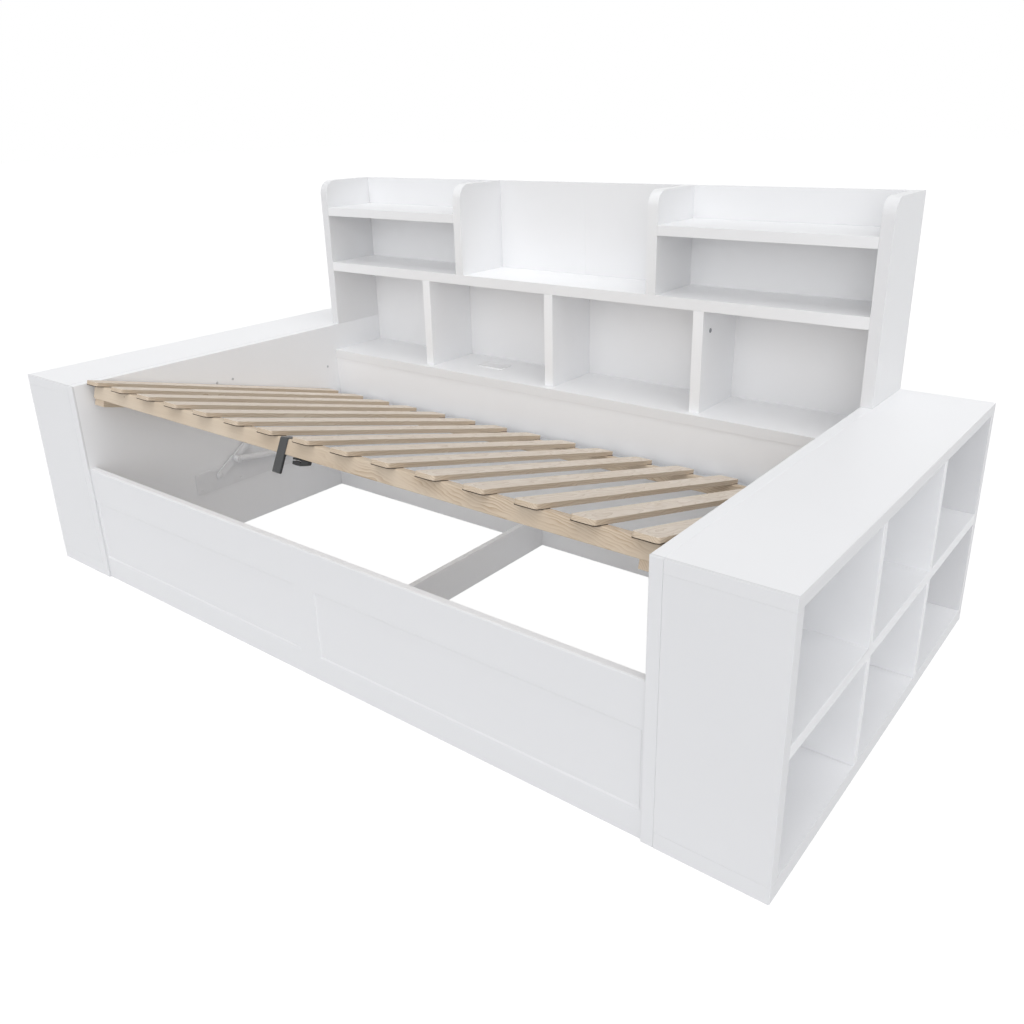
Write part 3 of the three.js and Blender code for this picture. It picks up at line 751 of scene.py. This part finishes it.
def hinge_knuckle(bm, index, tongue):
    """One knuckle of the hinge and the tongue that joins it to its leaf."""
    pitch = 2 * HINGE_END / KNUCKLES
    start, end = index * pitch + 0.15 - HINGE_END, (index + 1) * pitch - 0.15 - HINGE_END
    barrel = [(0, start), (4.4, start), (5, start + 0.8), (5, end - 0.8), (4.4, end), (0, end)]
    turned(bm, "x", (0, 0), barrel, 24)
    slab(bm, "x", rectangle(*tongue), (start, end))


def add_hinge():
    fixed = bmesh.new()
    slab(fixed, "z", rectangle((-HINGE_END, HINGE_END), (6, 51)), (-1, 1))
    for index in range(0, KNUCKLES, 2):
        hinge_knuckle(fixed, index, ((3, 7), (-1, 1)))
    moving = bmesh.new()
    slab(moving, "y", rectangle((0.3 - HINGE_END, HINGE_END - 0.3), (-15, 15)), (-6.7, -5.3))
    for index in range(1, KNUCKLES, 2):
        hinge_knuckle(moving, index, ((-6, -3), (-2, 2)))
    for x in range(-880, 881, 160):
        screw(fixed, "z", (x, 36), 1, 3.6, 0.6)
    place = turned_frame(940, 361, 0)
    piece = add_piece("hinge_fixed_plate", fixed, place, "zinc_steel", "bed_frame")
    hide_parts("hinge_fixed_leaf")
    piece = add_piece("hinge_moving_plate", moving, BASE, "zinc_steel", "slat_base")
    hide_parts("hinge_moving_leaf")


# Slats and the painted shadow strips under their ends
SLAT_COUNT = 15
SLAT_ENDS = (-934, 2)
SHADOW_STRIP_PROUD = 0.3
SHADOW_STRIP_INNER_ENDS = (-881, -38)
SHADOW_STRIP_LEVELS = (16.6, 18.4)


# Pull strap and latch at the front beam
STRAP = (-91.82, -61.82)
STRAP_FRONT, STRAP_BACK, STRAP_TOP, STRAP_TIP = -913.05, -880.95, 18.05, -72.2
BEAM_UNDER = -23.3
STRAP_LEAN = -20  # of the hanging end, to the left


def band(bm, path, thickness=1.4):
    """A strap along a path of (y, z) points, thin at its two woven edges."""
    low, high = STRAP
    edge = [(low, 0), (low + 1, 0.5), (high - 1, 0.5), (high, 0), (high - 1, -0.5), (low + 1, -0.5)]
    rings = []
    for index, point in enumerate(path):
        run = path[min(index + 1, len(path) - 1)] - path[max(index - 1, 0)]
        out = Vector((-run.y, run.x)).normalized() * thickness
        aside = STRAP_LEAN * (STRAP_TOP - point.y) / (STRAP_TOP - STRAP_TIP)
        places = [(x + aside, point + out * share) for x, share in edge]
        rings.append([bm.verts.new((x, place.x, place.y)) for x, place in places])
    for before, after in zip(rings, rings[1:]):
        join_rings(bm, before, after)
    bm.faces.new(rings[0])
    bm.faces.new(rings[-1])


def add_strap():
    wrap = bmesh.new()
    over = [(STRAP_BACK, BEAM_UNDER), (STRAP_BACK, STRAP_TOP), (STRAP_FRONT, STRAP_TOP)]
    band(wrap, eased(over + [(STRAP_FRONT, BEAM_UNDER)], 4, closed=False))
    round_beam = add_piece("strap_round_beam", wrap, BASE, "webbing", "slat_base")
    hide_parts("pull_strap")
    hanging = bmesh.new()
    fold = [(STRAP_FRONT, BEAM_UNDER), (STRAP_FRONT, STRAP_TIP), (STRAP_FRONT + 5.5, STRAP_TIP)]
    fold += [(STRAP_FRONT + 5.5, BEAM_UNDER - 0.8), (STRAP_BACK, BEAM_UNDER - 0.8)]
    fold += [(STRAP_BACK, BEAM_UNDER)]
    band(hanging, eased(fold, 2.7, closed=False))
    tail = add_piece("strap_tail", hanging, BASE, "webbing", "slat_base")
    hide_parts("pull_strap")
    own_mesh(tail)


def add_slat_shadow_strips():
    """Thin dark strips under both ends of each slat, just proud of its outline: a painted shadow where the
    slats lie on the beams.
    """
    bm = bmesh.new()
    low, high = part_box("slat_01")
    pitch = (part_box("slat_02")[0].x - low.x) / MM
    for index in range(SLAT_COUNT):
        left = low.x / MM + index * pitch
        across = (left - SHADOW_STRIP_PROUD, left + (high.x - low.x) / MM + SHADOW_STRIP_PROUD)
        front = (SLAT_ENDS[0] - SHADOW_STRIP_PROUD, SHADOW_STRIP_INNER_ENDS[0])
        rear = (SHADOW_STRIP_INNER_ENDS[1], SLAT_ENDS[1] + SHADOW_STRIP_PROUD)
        for along in (front, rear):
            slab(bm, "z", eased(rectangle(across, along), 8), SHADOW_STRIP_LEVELS)
    add_piece("slat_shadow_strips", bm, BASE, "felt", "slat_base")


def add_latch():
    """A black latch under the front beam: a hanging hook and, over its slot, a spring tongue."""
    bm = bmesh.new()
    hook = [(-12.7, -24.5), (13.4, -24.2), (10.9, -33.5), (2.4, -36.5), (-14.7, -40.2), (-29.2, -41)]
    hook += [(-42.8, -40.2), (-42.8, -32), (-16.1, -30.7), (-16.1, -33.2), (-12.7, -33.2)]
    slab(bm, "y", hook, (-911, -899))
    slab(bm, "y", [(-42.8, -23.8), (-16.1, -23.8), (-16.1, -27.7), (-42.8, -28.8)], (-911, -899))
    slab(bm, "z", rectangle((-41, 12), (-906, -884)), (-25.8, BEAM_UNDER))
    add_piece("latch", bm, BASE, "black_plastic", "slat_base", edge=0.6)


# Small fittings on the boards
def add_side_screws():
    bm = bmesh.new()
    for spot in ((483, 517), (545, 516), (958, 469.5)):
        screw(bm, "x", spot, -FACE, 4.5, 1)
    add_piece("side_screws", bm, CARCASS, "zinc_steel", "bed_frame")


def add_divider_cap():
    """A round cap on the right of the last small divider, under the shelf."""
    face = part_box("bookcase_divider_3")[1].x / MM
    bm = bmesh.new()
    dome = [(0, 0), (6.5, 0), (6.5, 0.7), (6, 1.1), (4.6, 1.1), (4.2, 0.7), (0, 0.7)]
    turned(bm, "x", (1074, 751), [(radius, face + level) for radius, level in dome])
    add_piece("divider_cap", bm, CARCASS, "grey_plastic", "bed_frame")


def add_cable_plate():
    """A low white plate with a shallow sunk field, on the small cubby's floor."""
    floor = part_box("bookcase_cubby_floor")[1].z / MM
    bm = bmesh.new()
    outer = eased(rectangle((-359, -255), (1104, 1168)), 8)
    inner = eased(rectangle((-352, -262), (1110, 1162)), 5)
    sunk = eased(rectangle((-350.5, -263.5), (1111.5, 1160.5)), 4)
    levels = [(outer, floor), (outer, floor + 3.2), (inner, floor + 3.2), (sunk, floor + 1.8)]
    walls = [new_ring(bm, "z", outline, level) for outline, level in levels]
    for low, high in zip(walls, walls[1:]):
        join_rings(bm, low, high)
    bm.faces.new(walls[0])
    bm.faces.new(walls[-1])
    add_piece("cable_plate", bm, CARCASS, "white_plastic", "bed_frame", edge=0.5)


scene.view_settings.view_transform = "Standard"
add_camera()
add_light()
materials = fitting_materials()
dress_boards()
dress_wood()
dress_fittings()
for side_name, side_sign in SIDES:
    add_wall_plate(side_name, side_sign)
    add_lever(side_name, side_sign)
    add_strut(side_name, side_sign)
add_hinge()
add_strap()
add_slat_shadow_strips()
add_latch()
add_side_screws()
add_divider_cap()
add_cable_plate()
